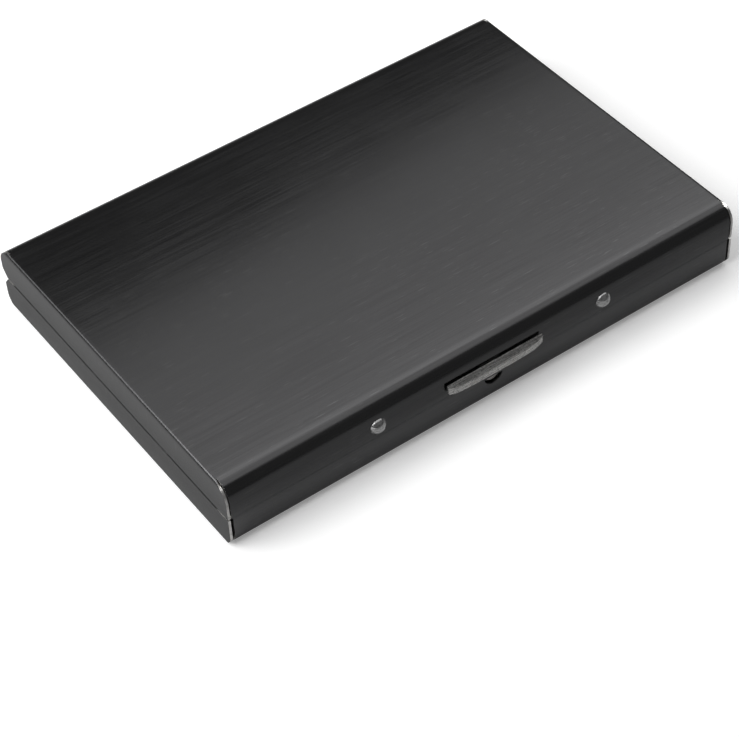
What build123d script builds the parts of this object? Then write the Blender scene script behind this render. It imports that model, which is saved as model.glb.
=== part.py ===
from build123d import *
import math
import os

# ---------------------------------------------------------------------------
# Slim metal card case, built closed and lying on its plain side.
# Millimetres, +Z up. Origin at the centre of the bottom face.
# X runs along the hinge, the latch is at -Y and the hinge at +Y.
# ---------------------------------------------------------------------------

# Case
CASE_W = 96.0             # along X
CASE_D = 65.0             # along Y
CASE_H = 12.4             # along Z
SHEET = 0.4               # sheet steel thickness
SEAM_Z = 6.2              # height where the two shells meet
RIM_GAP = 0.16            # clearance between the two rims
R_BEND_LOWER = 2.5        # outer radius of the long bends, plain shell
R_BEND_UPPER = 3.0        # outer radius of the long bends, latch shell
R_END_FOLD = 0.6          # outer radius of the folds to the end walls
SLIT_LOWER = 0.45         # open corner between a long wall and an end wall
SLIT_UPPER = 0.15

# Hinge
BARREL_R = 1.0
BORE_R = 0.55
PIN_R = 0.5
HINGE_Y = CASE_D / 2 - BARREL_R
HINGE_Z = SEAM_Z
HINGE_LEN = 92.0
KNUCKLES = 7
KNUCKLE_GAP = 0.15
WALL_RELIEF = 1.5         # how far a wall stops short of the hinge axis
END_CHAMFER_Y = 0.3       # an end wall's chamfer starts this far in front of the hinge axis
END_CHAMFER_SLOPE = 4.062 / 3.3

# Latch
BAR_LEN = 18.0
BAR_Z = (7.15, 9.15)
BAR_DEPTH = 0.75          # at mid length; the front edge bows back towards the ends
BAR_PLAN_HALF = 9.15      # where the bowed front edge would meet the back
BAR_PLAN_POWER = 3.2      # 2 would be an ellipse; more keeps the middle straighter
BAR_ROLL_R = 2.35         # radius of the rolled top face
BAR_ROLL_START = 52.0     # slope of the top face at its back edge, degrees
BAR_STANDOFF = 0.35
NECK_W = 3.6
NECK_Z = (7.6, 8.3)
NECK_GAP = 0.2            # clearance round the neck in the spring
NOTCH_W = 4.6
NOTCH_TOP = 8.6
TONGUE_Y = (-31.65, -31.35)
TONGUE_R = 3.0
TONGUE_TIP_Z = 3.5
TONGUE_TOP = 9.6
WINDOW_Z = (4.2, 6.1)     # three-cornered window, point down
WINDOW_HALF = 1.35
LUG_TOP = 5.7             # the lug is lanced from the wall and hangs over its own hole
LUG_R = 1.45
LUG_FACE_Y = -31.78
LANCE_R = 1.75
LANCE_CENTRE = 5.6
LANCE_TOP = 5.35

# Leaf spring and rivets
SPRING_T = 0.3
SPRING_GAP = 0.04         # space between the spring and the wall behind it
SPRING_Z = (6.7, 9.5)
SPRING_HALF = 24.0
SPRING_BULGE = 0.9
BULGE_X = (10.0, 18.0)    # where each bulge starts and ends
RIVET_X = 21.4
RIVET_Z = 8.4
RIVET_HEAD_R = 1.4
RIVET_DOME = 0.95
RIVET_SHANK_R = 0.6
RIVET_TAIL_R = 0.95
RIVET_TAIL_T = 0.3
HOLE_GAP = 0.05           # clearance round a rivet shank

# Liners and bellows
LINER_T = 0.25
LINER_HALF_W = 42.5
LINER_FRONT_Y = -28.5
LINER_BACK_Y = 29.3
SLOT_Y = -16.6
SLOT_W = 2.6
SLOT_END_X = 35.5
LEAVES = 5
LEAF_T = 0.35
LEAF_HALF_W = 33.0
LEAF_FRONT_Y = -14.0
LEAF_BACK_Y = 29.5
GUSSET_TIP_X = 46.0
FOLD_T = 0.12             # thickness of the folded bellows cloth
FOLD_GAP = 0.02           # clearance between a fold and the next pocket's fold
SPINE_HALF_W = 44.0
SPINE_TIP_Y = 30.3

HALF_W = CASE_W / 2
HALF_D = CASE_D / 2
FRONT_IN = -HALF_D + SHEET


# ---------------------------------------------------------------------------
# Small helpers
# ---------------------------------------------------------------------------

def box(x0, x1, y0, y1, z0, z1):
    """Axis-aligned box between two corners."""
    solid = Box(x1 - x0, y1 - y0, z1 - z0)
    return Pos((x0 + x1) / 2, (y0 + y1) / 2, (z0 + z1) / 2) * solid


def extrude_x(points, x0, x1):
    """Prism along X from a closed list of (y, z) points."""
    plane = Plane(origin=(x0, 0, 0), x_dir=(0, 1, 0), z_dir=(1, 0, 0))
    return extrude(plane * make_face(Polyline(*points, close=True)), x1 - x0)


def extrude_y(points, y0, y1):
    """Prism along Y from a closed list of (x, z) points."""
    plane = Plane(origin=(0, y1, 0), x_dir=(1, 0, 0), z_dir=(0, -1, 0))
    return extrude(plane * make_face(Polyline(*points, close=True)), y1 - y0)


def cylinder_x(radius, x0, x1, y, z):
    """Cylinder along X."""
    return Pos((x0 + x1) / 2, y, z) * Rot(0, 90, 0) * Cylinder(radius, x1 - x0)


def cylinder_y(radius, y0, y1, x, z):
    """Cylinder along Y."""
    return Pos(x, (y0 + y1) / 2, z) * Rot(90, 0, 0) * Cylinder(radius, y1 - y0)


def leaf_bottom(k):
    """Height of the underside of leaf k, 1 being the lowest."""
    low = SHEET + LINER_T
    high = CASE_H - SHEET - LINER_T
    gap = (high - low - LEAVES * LEAF_T) / (LEAVES + 1)
    return low + k * gap + (k - 1) * LEAF_T


def pocket_limits(k):
    """Lowest and highest point of the cloth that joins the two sides of pocket k."""
    low = SHEET + LINER_T
    high = CASE_H - SHEET - LINER_T
    if k > 1:
        low = leaf_bottom(k - 1) + LEAF_T / 2
    if k <= LEAVES:
        high = leaf_bottom(k) + LEAF_T / 2
    return low + FOLD_GAP, high - FOLD_GAP


def knuckle_spans(first):
    """X ranges of every second knuckle, starting with knuckle number `first`."""
    pitch = HINGE_LEN / KNUCKLES
    spans = []
    for i in range(first, KNUCKLES, 2):
        x0 = -HINGE_LEN / 2 + i * pitch
        spans.append((x0, x0 + pitch))
    return spans


# ---------------------------------------------------------------------------
# The two shells. Both are drawn as an open tray standing on z = 0; the latch
# shell is then turned over.
# ---------------------------------------------------------------------------

def tray(radius, height, slit):
    """Folded sheet tray: floor, two long walls with wide bends, two end walls."""
    inner = radius - SHEET
    long_in = HALF_W - SHEET
    flat = HALF_D - radius

    # floor and end walls with their tight folds
    outline = Pos(0, 0, height) * Box(CASE_W, 2 * flat, 2 * height)
    outline = fillet(outline.edges().filter_by(Axis.Y).group_by(Axis.Z)[0], R_END_FOLD)
    hollow = Pos(0, 0, SHEET + height) * Box(2 * long_in, 2 * flat + 1, 2 * height)
    hollow = fillet(hollow.edges().filter_by(Axis.Y).group_by(Axis.Z)[0], R_END_FOLD - SHEET)
    body = outline - hollow

    # long walls: floor strip, bend and upright
    for side in (-1, 1):
        bend_x = long_in - slit
        arc_out = cylinder_x(radius, -bend_x, bend_x, side * flat, radius)
        arc_in = cylinder_x(inner, -bend_x, bend_x, side * flat, radius)
        corner = box(-bend_x, bend_x, min(side * flat, side * HALF_D),
                     max(side * flat, side * HALF_D), 0, radius)
        wall_in = side * (HALF_D - SHEET)
        wall = box(-bend_x, bend_x, min(wall_in, side * HALF_D),
                   max(wall_in, side * HALF_D), radius, 2 * height)
        body = body + ((arc_out - arc_in) & corner) + wall

    # the end walls continue forward and back, following the long bends
    for end in (-1, 1):
        for side in (-1, 1):
            x0 = min(end * long_in, end * HALF_W)
            x1 = max(end * long_in, end * HALF_W)
            y0 = min(side * flat, side * HALF_D)
            y1 = max(side * flat, side * HALF_D)
            quarter = cylinder_x(radius, x0, x1, side * flat, radius) & box(x0, x1, y0, y1, 0, radius)
            upright = box(x0, x1, y0, y1, radius, 2 * height)
            fold_trim = Pos(0, 0, height) * Box(CASE_W, 2 * CASE_D, 2 * height)
            fold_trim = fillet(fold_trim.edges().filter_by(Axis.Y).group_by(Axis.Z)[0], R_END_FOLD)
            body = body + ((quarter + upright) & fold_trim)

    return body - box(-CASE_W, CASE_W, -CASE_D, CASE_D, height, 3 * height)


def hinge_cuts(seam):
    """Corner chamfers that let the two end walls swing past each other at the hinge."""
    front = HINGE_Y - END_CHAMFER_Y
    behind = front + 3.3
    foot = seam - 3.3 * END_CHAMFER_SLOPE
    points = [(front, seam), (behind, foot), (behind, seam + 2), (front, seam + 2)]
    inner = HALF_W - 3 * SHEET
    outer = HALF_W + 1
    return [extrude_x(points, -outer, -inner), extrude_x(points, inner, outer)]


def add_hinge(body, seam, own, others):
    """Roll the back wall into knuckles and cut it away beside the other shell's knuckles."""
    wall_in = HALF_D - SHEET
    edge_relief = box(-HALF_W + 0.8, HALF_W - 0.8, HINGE_Y - 0.2, HALF_D + 1, seam - WALL_RELIEF, seam + 3)
    body = body - edge_relief
    for x0, x1 in own:
        a = x0 + KNUCKLE_GAP / 2
        b = x1 - KNUCKLE_GAP / 2
        body = body + box(a, b, wall_in, HALF_D, seam - WALL_RELIEF - 0.01, seam)
        body = body + cylinder_x(BARREL_R, a, b, HINGE_Y, seam)
    for x0, x1 in others:
        a = x0 - KNUCKLE_GAP / 2
        b = x1 + KNUCKLE_GAP / 2
        body = body - box(a, b, HINGE_Y - 1.2, HALF_D + 1, seam - WALL_RELIEF, seam + 3)
    for cut in hinge_cuts(seam):
        body = body - cut
    return body - cylinder_x(BORE_R, -HALF_W, HALF_W, HINGE_Y, seam)


def turn_over(body):
    """Turn a tray drawn on z = 0 upside down so that its floor becomes the top face."""
    return mirror(body, Plane(origin=(0, 0, CASE_H / 2), z_dir=(0, 0, 1)))


def make_lower_shell():
    """Plain shell with the catch lug lanced inwards from its front wall."""
    rim = SEAM_Z - RIM_GAP / 2
    body = tray(R_BEND_LOWER, rim, SLIT_LOWER)
    body = add_hinge(body, HINGE_Z, knuckle_spans(0), knuckle_spans(1))
    hole = cylinder_y(LANCE_R, -HALF_D - 1, FRONT_IN + 0.2, 0, LANCE_CENTRE)
    hole = hole & box(-LANCE_R, LANCE_R, -HALF_D - 1, FRONT_IN + 0.2, 0, LANCE_TOP)
    lug = cylinder_y(LUG_R, FRONT_IN - 0.05, LUG_FACE_Y, 0, LUG_TOP)
    lug = lug & box(-LUG_R, LUG_R, -HALF_D, LUG_FACE_Y, 0, LUG_TOP)
    return body - hole + lug


def make_upper_shell():
    """Latch shell with the notch for the latch neck and the rivet holes."""
    rim = CASE_H - SEAM_Z - RIM_GAP / 2
    seam = CASE_H - HINGE_Z
    body = tray(R_BEND_UPPER, rim, SLIT_UPPER)
    body = add_hinge(body, seam, knuckle_spans(1), knuckle_spans(0))
    body = turn_over(body)
    body = body - box(-NOTCH_W / 2, NOTCH_W / 2, -HALF_D - 1, FRONT_IN + 0.2, SEAM_Z - 1, NOTCH_TOP)
    for side in (-1, 1):
        body = body - cylinder_y(RIVET_SHANK_R + HOLE_GAP, -HALF_D - 1, FRONT_IN + 1, side * RIVET_X, RIVET_Z)
    return body


def make_hinge_pin():
    """Straight pin through all the knuckles."""
    length = HINGE_LEN / 2 - 0.1
    pin = cylinder_x(PIN_R, -length, length, HINGE_Y, HINGE_Z)
    return chamfer(pin.edges(), 0.12)


# ---------------------------------------------------------------------------
# Latch, spring and rivets
# ---------------------------------------------------------------------------

def bar_bow(t):
    """How far the bar's front edge stands out at a fraction t of its plan's half length."""
    return BAR_DEPTH * (1 - abs(t) ** BAR_PLAN_POWER) ** (1 / BAR_PLAN_POWER)


def make_latch_bar():
    """Push bar with a rolled top face, standing off the front wall on its neck."""
    back = -HALF_D - BAR_STANDOFF
    half = BAR_LEN / 2
    bar = box(-half, half, back - BAR_DEPTH, back, BAR_Z[0], BAR_Z[1])
    bar = fillet(bar.edges().filter_by(Axis.Y).group_by(Axis.Z)[0], 0.8)
    slope = math.radians(BAR_ROLL_START)
    roll_y = back + BAR_ROLL_R * math.cos(slope)
    roll_z = BAR_Z[1] - BAR_ROLL_R * math.sin(slope)
    roll = cylinder_x(BAR_ROLL_R, -half - 1, half + 1, roll_y, roll_z)
    edge = [(BAR_PLAN_HALF * i / 20, back - bar_bow(i / 20)) for i in range(-20, 21)]
    outline = make_face(Polyline(*edge, (BAR_PLAN_HALF, back + 1), (-BAR_PLAN_HALF, back + 1), close=True))
    plan = Pos(0, 0, BAR_Z[0] - 1) * extrude(outline, BAR_Z[1] - BAR_Z[0] + 2)
    neck = box(-NECK_W / 2, NECK_W / 2, back - 0.2, TONGUE_Y[0], NECK_Z[0], NECK_Z[1])
    return (bar & roll & plan) + neck


def make_latch_tongue():
    """Inner plate of the latch with a rounded tongue and a three-cornered window."""
    y0, y1 = TONGUE_Y
    centre_z = TONGUE_TIP_Z + TONGUE_R
    tongue = cylinder_y(TONGUE_R, y0, y1, 0, centre_z)
    plate = box(-TONGUE_R, TONGUE_R, y0, y1, centre_z, TONGUE_TOP)
    corners = [(-WINDOW_HALF, WINDOW_Z[1]), (WINDOW_HALF, WINDOW_Z[1]), (0, WINDOW_Z[0])]
    return tongue + plate - extrude_y(corners, y0 - 1, y1 + 1)


def make_latch_spring():
    """Leaf spring across the front wall with a bulge each side of the centre."""
    outer = FRONT_IN + SPRING_GAP
    points = []
    steps = 8
    for side in (-1, 1):
        arc = []
        for i in range(steps + 1):
            t = i / steps
            rise = SPRING_BULGE * (1 - (2 * t - 1) ** 2) ** 1.5
            x = BULGE_X[0] + (BULGE_X[1] - BULGE_X[0]) * t
            arc.append((side * x, outer + rise))
        if side < 0:
            arc.reverse()
        points += arc
    points = [(-SPRING_HALF, outer)] + points + [(SPRING_HALF, outer)]
    inner = [(x, y + SPRING_T) for x, y in reversed(points)]
    face = make_face(Polyline(*points, *inner, close=True))
    strip = Pos(0, 0, SPRING_Z[0]) * extrude(face, SPRING_Z[1] - SPRING_Z[0])
    half = NECK_W / 2 + NECK_GAP
    strip = strip - box(-half, half, outer - 1, outer + 1, NECK_Z[0] - NECK_GAP, NECK_Z[1] + NECK_GAP)
    for side in (-1, 1):
        strip = strip - cylinder_y(RIVET_SHANK_R + HOLE_GAP, outer - 1, outer + 1, side * RIVET_X, RIVET_Z)
    return strip


def make_rivet(side):
    """Rivet with a domed head outside and a flat head inside."""
    x = side * RIVET_X
    wall_out = -HALF_D
    inside = FRONT_IN + SPRING_GAP + SPRING_T
    sphere_r = (RIVET_HEAD_R ** 2 + RIVET_DOME ** 2) / (2 * RIVET_DOME)
    ball = Pos(x, wall_out - RIVET_DOME + sphere_r, RIVET_Z) * Sphere(sphere_r)
    head = ball & box(x - 2, x + 2, wall_out - 2, wall_out, RIVET_Z - 2, RIVET_Z + 2)
    shank = cylinder_y(RIVET_SHANK_R, wall_out, inside, x, RIVET_Z)
    tail = cylinder_y(RIVET_TAIL_R, inside, inside + RIVET_TAIL_T, x, RIVET_Z)
    return head + shank + tail


# ---------------------------------------------------------------------------
# Liners and bellows
# ---------------------------------------------------------------------------

def make_liner(z0):
    """Flat liner sheet with a round-ended slot in from each side."""
    sheet = box(-LINER_HALF_W, LINER_HALF_W, LINER_FRONT_Y, LINER_BACK_Y, z0, z0 + LINER_T)
    sheet = fillet(sheet.edges().filter_by(Axis.Z), 0.8)
    for side in (-1, 1):
        end = side * SLOT_END_X
        edge = side * (LINER_HALF_W + 2)
        slot = box(min(end, edge), max(end, edge), SLOT_Y - SLOT_W / 2, SLOT_Y + SLOT_W / 2, z0 - 1, z0 + 1)
        nose = Pos(end, SLOT_Y, z0) * Cylinder(SLOT_W / 2, 2)
        sheet = sheet - slot - nose
    return sheet


def make_divider(k):
    """Stiff leaf between two pockets, with rounded free corners."""
    z0 = leaf_bottom(k)
    leaf = box(-LEAF_HALF_W, LEAF_HALF_W, LEAF_FRONT_Y, LEAF_BACK_Y, z0, z0 + LEAF_T)
    return fillet(leaf.edges().filter_by(Axis.Z).group_by(Axis.Y)[0], 0.8)


def make_gusset(side, k):
    """Side cloth of pocket k, folded outwards to a crease at the end of the case."""
    low, high = pocket_limits(k)
    middle = (low + high) / 2
    root = LEAF_HALF_W + 0.05
    rise = FOLD_T + FOLD_GAP
    slope = (middle - low) / (GUSSET_TIP_X - root)
    inner_tip = GUSSET_TIP_X - rise / slope
    points = [
        (side * root, low),
        (side * GUSSET_TIP_X, middle),
        (side * root, high),
        (side * root, high - rise),
        (side * inner_tip, middle),
        (side * root, low + rise),
    ]
    return extrude_y(points, LEAF_FRONT_Y, LEAF_BACK_Y)


def make_spine_fold(k):
    """Back cloth of pocket k, folded towards the hinge."""
    low, high = pocket_limits(k)
    middle = (low + high) / 2
    root = LEAF_BACK_Y + 0.05
    points = [
        (root, low),
        (SPINE_TIP_Y, middle),
        (root, high),
        (root, high - 0.2),
        (SPINE_TIP_Y - 0.19, middle),
        (root, low + 0.2),
    ]
    return extrude_x(points, -SPINE_HALF_W, SPINE_HALF_W)


def main():
    """Write one STEP file per piece."""
    os.makedirs("parts", exist_ok=True)
    pieces = {
        "lower_shell": make_lower_shell(),
        "upper_shell": make_upper_shell(),
        "hinge_pin": make_hinge_pin(),
        "latch_bar": make_latch_bar(),
        "latch_tongue": make_latch_tongue(),
        "latch_spring": make_latch_spring(),
        "rivet_left": make_rivet(-1),
        "rivet_right": make_rivet(1),
        "lower_liner": make_liner(SHEET),
        "upper_liner": make_liner(CASE_H - SHEET - LINER_T),
    }
    for k in range(1, LEAVES + 1):
        pieces[f"divider_{k}"] = make_divider(k)
    for k in range(1, LEAVES + 2):
        pieces[f"gusset_left_{k}"] = make_gusset(-1, k)
        pieces[f"gusset_right_{k}"] = make_gusset(1, k)
        pieces[f"spine_fold_{k}"] = make_spine_fold(k)
    for name, piece in pieces.items():
        export_step(piece, f"parts/{name}.step")


main()
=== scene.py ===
"""Looks for a slim metal card case: two folded steel shells, a push bar latch and a cloth bellows."""
import logging
import math
from dataclasses import dataclass, field
from enum import Enum
from typing import Callable, Iterable, Sequence

import bmesh
import bpy
from bmesh.types import BMEdge, BMesh, BMVert
from mathutils import Matrix, Vector


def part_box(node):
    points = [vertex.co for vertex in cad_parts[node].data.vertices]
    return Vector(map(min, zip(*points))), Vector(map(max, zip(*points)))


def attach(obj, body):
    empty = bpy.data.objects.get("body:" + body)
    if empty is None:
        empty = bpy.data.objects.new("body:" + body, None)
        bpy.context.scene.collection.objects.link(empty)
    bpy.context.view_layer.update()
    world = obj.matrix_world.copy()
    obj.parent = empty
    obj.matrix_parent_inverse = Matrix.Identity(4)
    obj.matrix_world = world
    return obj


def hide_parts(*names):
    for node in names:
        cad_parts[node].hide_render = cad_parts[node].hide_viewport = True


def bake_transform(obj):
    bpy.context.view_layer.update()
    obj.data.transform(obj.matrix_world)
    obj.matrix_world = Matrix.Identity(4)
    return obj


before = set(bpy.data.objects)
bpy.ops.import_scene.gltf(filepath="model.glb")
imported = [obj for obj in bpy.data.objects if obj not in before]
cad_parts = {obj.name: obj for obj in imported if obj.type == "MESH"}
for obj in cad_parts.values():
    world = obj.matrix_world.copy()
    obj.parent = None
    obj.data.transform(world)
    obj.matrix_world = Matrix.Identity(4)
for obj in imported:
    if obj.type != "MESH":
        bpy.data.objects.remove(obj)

LOG = logging.getLogger("card_case")
MM = 0.001
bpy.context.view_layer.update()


# ---------------------------------------------------------------------------
# Named choices
# ---------------------------------------------------------------------------

class Body(Enum):
    """The bodies that the joints move."""

    CASE = "case"
    LID = "lid"
    LATCH = "latch"


class Slot(Enum):
    """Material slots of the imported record."""

    SHELL = "shell_black"
    BAR = "bar_steel"
    INNER = "inner_steel"
    RIVET = "rivet_steel"
    PIN = "pin_steel"
    LINER = "liner_black"
    LEAF = "leaf_black"
    CLOTH = "bellows_cloth"


class Coordinates(Enum):
    """Where a pattern takes its coordinates from."""

    OBJECT = "Object"
    UV = "UV"


# ---------------------------------------------------------------------------
# Node helpers
# ---------------------------------------------------------------------------

class NodeDesk:
    """Adds and links nodes in one node tree."""

    def __init__(self, tree: bpy.types.NodeTree) -> None:
        """Start on a tree.

        Args:
            tree: The node tree to work in.
        """
        self.tree = tree
        self.count = 0

    def add(self, kind: str, inputs: dict | None = None, **settings: object) -> bpy.types.Node:
        """Add a node.

        Args:
            kind: Node type without the ShaderNode prefix.
            inputs: Values or sockets by input name or index.
            **settings: Node properties.

        Returns:
            The new node.
        """
        full = kind if kind.startswith("NodeGroup") else "ShaderNode" + kind
        node = self.tree.nodes.new(full)
        node.location = (self.count * 180, 0)
        self.count += 1
        for key, value in settings.items():
            setattr(node, key, value)
        for key, value in (inputs or {}).items():
            self.feed(node, key, value)
        return node

    def feed(self, node: bpy.types.Node, key: str | int, value: object) -> None:
        """Link a socket to an input, or set the input's value.

        Args:
            node: The node that is fed.
            key: Input name or index.
            value: A socket or a plain value.
        """
        if isinstance(value, bpy.types.NodeSocket):
            self.tree.links.new(value, node.inputs[key])
        else:
            node.inputs[key].default_value = value

    def math(self, operation: str, a: object, b: object = 0.0) -> bpy.types.NodeSocket:
        """Add a Math node.

        Args:
            operation: Math operation name.
            a: First operand, a socket or a number.
            b: Second operand.

        Returns:
            The result socket.
        """
        return self.add("Math", {0: a, 1: b}, operation=operation).outputs[0]

    def ramp(self, value: object, low: float, high: float, out_low: float = 0.0,
             out_high: float = 1.0) -> bpy.types.NodeSocket:
        """Map a range smoothly to another.

        Args:
            value: The input socket.
            low: Input value that gives out_low.
            high: Input value that gives out_high.
            out_low: Lowest result.
            out_high: Highest result.

        Returns:
            The mapped socket.
        """
        inputs = {"Value": value, "From Min": low, "From Max": high, "To Min": out_low, "To Max": out_high}
        return self.add("MapRange", inputs, interpolation_type="SMOOTHSTEP").outputs[0]

    def between(self, factor: object, low: float, high: float) -> bpy.types.NodeSocket:
        """Ease from one value to another as a factor goes from 0 to 1."""
        return self.ramp(factor, 0.0, 1.0, low, high)

    def dress(self, shader: bpy.types.Node, **inputs: object) -> None:
        """Feed several inputs of a shader.

        Args:
            shader: The shader node.
            **inputs: Values or sockets by input name, with underscores for spaces.
        """
        for key, value in inputs.items():
            self.feed(shader, key.replace("_", " "), value)

    def mix(self, factor: object, a: object, b: object) -> bpy.types.NodeSocket:
        """Mix two colours.

        Args:
            factor: Mix factor.
            a: First colour.
            b: Second colour.

        Returns:
            The mixed colour socket.
        """
        node = self.add("Mix", data_type="RGBA")
        self.feed(node, 0, factor)
        self.feed(node, 6, a)
        self.feed(node, 7, b)
        return node.outputs[2]

    def noise(self, vector: object, scale: float, detail: float = 2.0,
              roughness: float = 0.5) -> bpy.types.NodeSocket:
        """Add a noise texture.

        Args:
            vector: Coordinates.
            scale: Noise scale.
            detail: Octaves.
            roughness: Weight of the finer octaves.

        Returns:
            The noise value socket.
        """
        inputs = {"Vector": vector, "Scale": scale, "Detail": detail, "Roughness": roughness}
        return self.add("TexNoise", inputs).outputs[0]

    def stretch(self, vector: object, scale: Sequence[float]) -> bpy.types.NodeSocket:
        """Scale coordinates unevenly.

        Args:
            vector: Coordinates.
            scale: Factor for each axis.

        Returns:
            The scaled coordinates.
        """
        return self.add("Mapping", {"Vector": vector, "Scale": tuple(scale)}).outputs[0]


def grey(level: float) -> tuple[float, float, float, float]:
    """Opaque grey of the given linear level."""
    return (level, level, level, 1.0)


# ---------------------------------------------------------------------------
# Shared effects, each built once as a node group
# ---------------------------------------------------------------------------

class EffectLibrary:
    """Shader node groups that several finishes share."""

    def __init__(self) -> None:
        """Build every group once."""
        self.brushing = self._brushing()
        self.handling = self._handling()
        self.weave = self._weave()
        self.corner_rub = self._corner_rub()

    @staticmethod
    def _open(name: str, inputs: dict[str, object], outputs: dict[str, str]) -> tuple:
        """Make an empty group with its sockets.

        Args:
            name: Group name.
            inputs: Default value of each input; None stands for a vector.
            outputs: Socket type of each output.

        Returns:
            The group, its desk, its input node and its output node.
        """
        group = bpy.data.node_groups.new(name, "ShaderNodeTree")
        for key, value in inputs.items():
            kind = "NodeSocketVector" if value is None else "NodeSocketFloat"
            made = group.interface.new_socket(name=key, in_out="INPUT", socket_type=kind)
            if value is not None:
                made.default_value = value
        for key, kind in outputs.items():
            group.interface.new_socket(name=key, in_out="OUTPUT", socket_type=kind)
        desk = NodeDesk(group)
        return group, desk, desk.add("NodeGroupInput"), desk.add("NodeGroupOutput")

    def _brushing(self) -> bpy.types.NodeTree:
        """Long fine brush lines with a few short scratches.

        Returns:
            The node group.
        """
        outputs = {"Streak": "NodeSocketFloat", "Height": "NodeSocketFloat", "Scratch": "NodeSocketFloat"}
        inputs = {"Vector": None, "Along": 60.0, "Across": 5200.0}
        group, desk, given, result = self._open("brushing", inputs, outputs)
        scale = desk.add("CombineXYZ", {0: given.outputs["Along"], 1: given.outputs["Across"],
                                        2: given.outputs["Across"]}).outputs[0]
        lines = desk.add("VectorMath", {0: given.outputs["Vector"], 1: scale},
                         operation="MULTIPLY").outputs[0]
        coarse_at = desk.stretch(lines, (0.6, 0.22, 0.22))
        fine = desk.noise(lines, 1.0, 2.0, 0.6)
        coarse = desk.noise(coarse_at, 1.0, 2.0, 0.5)
        scratch_at = desk.stretch(given.outputs["Vector"], (330.0, 5200.0, 5200.0))
        patches = desk.ramp(desk.noise(given.outputs["Vector"], 45.0, 1.0), 0.4, 0.65, 0.0, 0.06)
        depth = desk.math("ADD", desk.noise(scratch_at, 1.0, 0.0), patches)
        scratch = desk.ramp(depth, 0.76, 0.84)
        body = desk.math("ADD", desk.math("MULTIPLY", fine, 0.75), desk.math("MULTIPLY", coarse, 0.25))
        height = desk.math("SUBTRACT", body, desk.math("MULTIPLY", scratch, 0.35))
        desk.feed(result, "Streak", desk.ramp(body, 0.32, 0.68))
        desk.feed(result, "Height", height)
        desk.feed(result, "Scratch", scratch)
        return group

    def _handling(self) -> bpy.types.NodeTree:
        """Soft cloudy smudges with small specks.

        Returns:
            The node group.
        """
        outputs = {"Cloud": "NodeSocketFloat", "Speck": "NodeSocketFloat"}
        group, desk, given, result = self._open("handling", {"Vector": None, "Scale": 60.0}, outputs)
        at = desk.add("VectorMath", {0: given.outputs["Vector"], 3: given.outputs["Scale"]},
                      operation="SCALE").outputs[0]
        desk.feed(result, "Cloud", desk.ramp(desk.noise(at, 1.0, 3.0, 0.55), 0.35, 0.68))
        desk.feed(result, "Speck", desk.ramp(desk.noise(at, 26.0, 1.0), 0.70, 0.78))
        return group

    def _weave(self) -> bpy.types.NodeTree:
        """Plain weave of crossing threads.

        Returns:
            The node group.
        """
        outputs = {"Thread": "NodeSocketFloat", "Height": "NodeSocketFloat"}
        group, desk, given, result = self._open("weave", {"Vector": None, "Pitch": 3000.0}, outputs)
        at = desk.add("VectorMath", {0: given.outputs["Vector"], 3: given.outputs["Pitch"]},
                      operation="SCALE").outputs[0]
        parts = desk.add("SeparateXYZ", {0: at}).outputs
        warp = desk.math("ABSOLUTE", desk.math("SINE", parts[0]))
        weft = desk.math("ABSOLUTE", desk.math("SINE", parts[1]))
        crossing = desk.math("MULTIPLY", warp, weft)
        uneven = desk.noise(at, 0.35, 2.0)
        desk.feed(result, "Thread", desk.math("MULTIPLY", crossing, uneven))
        desk.feed(result, "Height", desk.math("ADD", crossing, desk.math("MULTIPLY", uneven, 0.6)))
        return group

    def _corner_rub(self) -> bpy.types.NodeTree:
        """Mask that is 1 on the sheet's cut edges near the four corners and faint elsewhere.

        Returns:
            The node group.
        """
        inputs = {"Vector": None, "Half Width": 0.048, "Half Depth": 0.0325, "Reach": 0.003}
        group, desk, given, result = self._open("corner_rub", inputs, {"Mask": "NodeSocketFloat"})
        parts = desk.add("SeparateXYZ", {0: given.outputs["Vector"]}).outputs
        from_end = desk.math("SUBTRACT", given.outputs["Half Width"], desk.math("ABSOLUTE", parts[0]))
        from_side = desk.math("SUBTRACT", given.outputs["Half Depth"], desk.math("ABSOLUTE", parts[1]))
        near_end = desk.math("LESS_THAN", from_end, 0.0009)
        reach = desk.math("DIVIDE", from_side, given.outputs["Reach"])
        near_side = desk.ramp(reach, 1.15, 0.85)
        patch = desk.ramp(desk.noise(given.outputs["Vector"], 900.0, 2.0), 0.25, 0.6, 0.6, 1.0)
        corner = desk.math("MULTIPLY", desk.math("MULTIPLY", near_end, near_side), patch)
        rest = desk.ramp(desk.noise(given.outputs["Vector"], 420.0, 3.0), 0.58, 0.75, 0.0, 0.25)
        desk.feed(result, "Mask", desk.math("MAXIMUM", corner, rest))
        return group


# ---------------------------------------------------------------------------
# Finishes
# ---------------------------------------------------------------------------

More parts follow.
